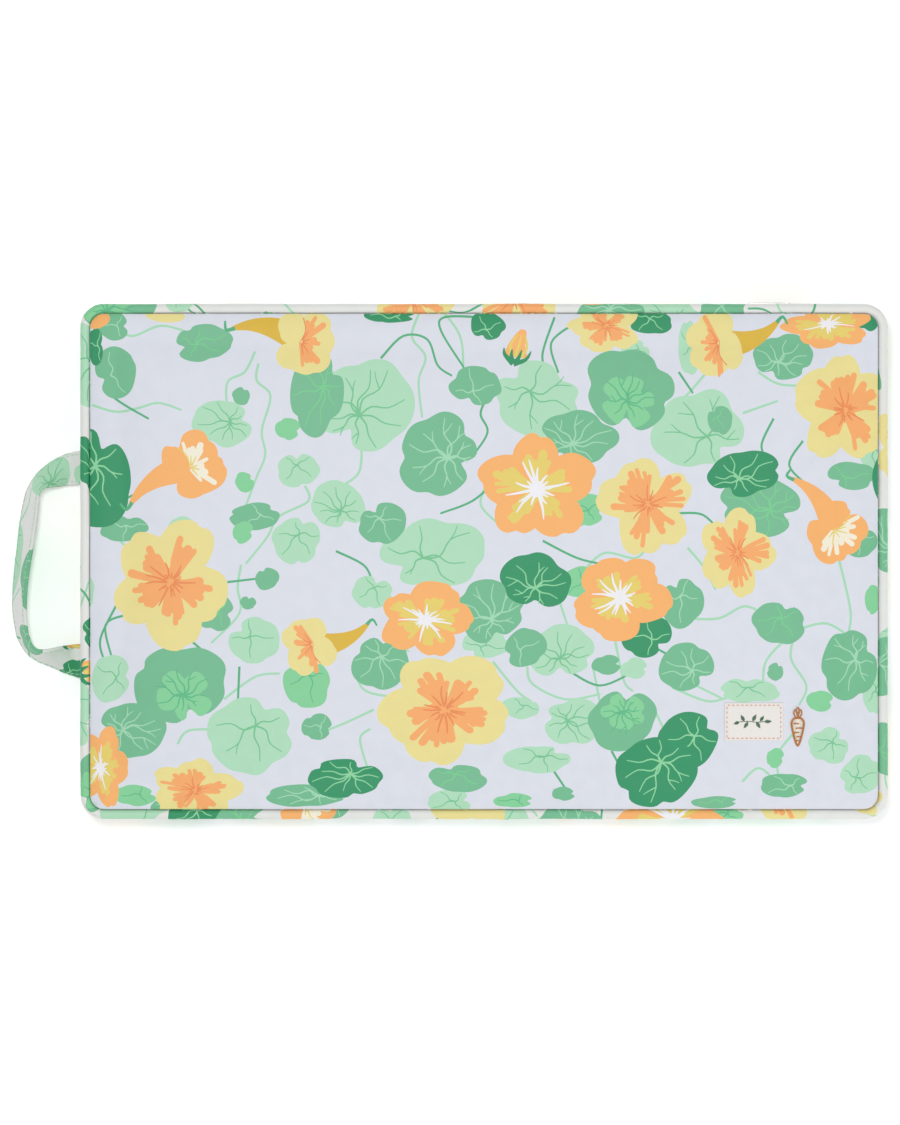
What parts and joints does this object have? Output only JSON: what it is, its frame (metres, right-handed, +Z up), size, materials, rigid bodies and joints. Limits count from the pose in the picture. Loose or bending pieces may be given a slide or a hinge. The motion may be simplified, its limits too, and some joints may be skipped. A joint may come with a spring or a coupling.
{
  "type": "kneeling pad",
  "caption": "Garden kneeling pad: a foam block in a piped, zipped cloth cover with a cloth carry handle at one end.",
  "frame": {"origin": "centre of the base panel's underside, on the floor", "axes": "+X along the long side, away from the handle; +Y towards the zip side; +Z up, out of the kneeling face"},
  "size_m": [0.5139, 0.3024, 0.0456],
  "materials": {
    "printed_cloth": "smooth coated cotton with a leaf and flower print, satin",
    "foam": "open-cell upholstery foam",
    "cord": "twisted cotton piping cord",
    "zip_tape": "woven polyester tape",
    "zip_coil": "nylon coil, satin",
    "zip_metal": "nickel-plated die casting, satin",
    "webbing": "plain woven stiffener",
    "label": "woven cream label",
    "pink_thread": "salmon sewing thread",
    "gold_thread": "orange-gold embroidery thread"
  },
  "bodies": {
    "pad": {"foam_core": "foam", "top_panel": "printed_cloth", "base_panel": "printed_cloth", "side_band": "printed_cloth", "top_piping_cover": "printed_cloth", "top_piping_cord": "cord", "base_piping_cover": "printed_cloth", "base_piping_cord": "cord", "zip_strip_upper": "printed_cloth", "zip_strip_lower": "printed_cloth", "zip_end_tab_left": "printed_cloth", "zip_end_tab_right": "printed_cloth", "zip_tape_upper": "zip_tape", "zip_tape_lower": "zip_tape", "zip_coil_upper": "zip_coil", "zip_coil_lower": "zip_coil", "handle_end_back": "printed_cloth", "handle_end_front": "printed_cloth", "woven_label": "label", "label_stitching": "pink_thread", "carrot_embroidery": "gold_thread"},
    "handle": {"handle_cover": "printed_cloth", "handle_core": "webbing"},
    "slider": {"zip_slider": "zip_metal"},
    "pull": {"zip_pull": "zip_metal"}
  },
  "joints": [
    {"name": "handle_swing", "type": "hinge", "parent": "pad", "child": "handle", "pos_m": [-0.2375, -0.0016, 0.0072], "axis": [0, 1, 0], "range_deg": [-25, 65]},
    {"name": "zip_slide", "type": "slide", "parent": "pad", "child": "slider", "axis": [-1, 0, 0], "range_m": [0, 0.357]},
    {"name": "pull_swing", "type": "hinge", "parent": "slider", "child": "pull", "pos_m": [0.1789, 0.1509, 0.02], "axis": [0, 0, -1], "range_deg": [0, 165]}
  ]
}
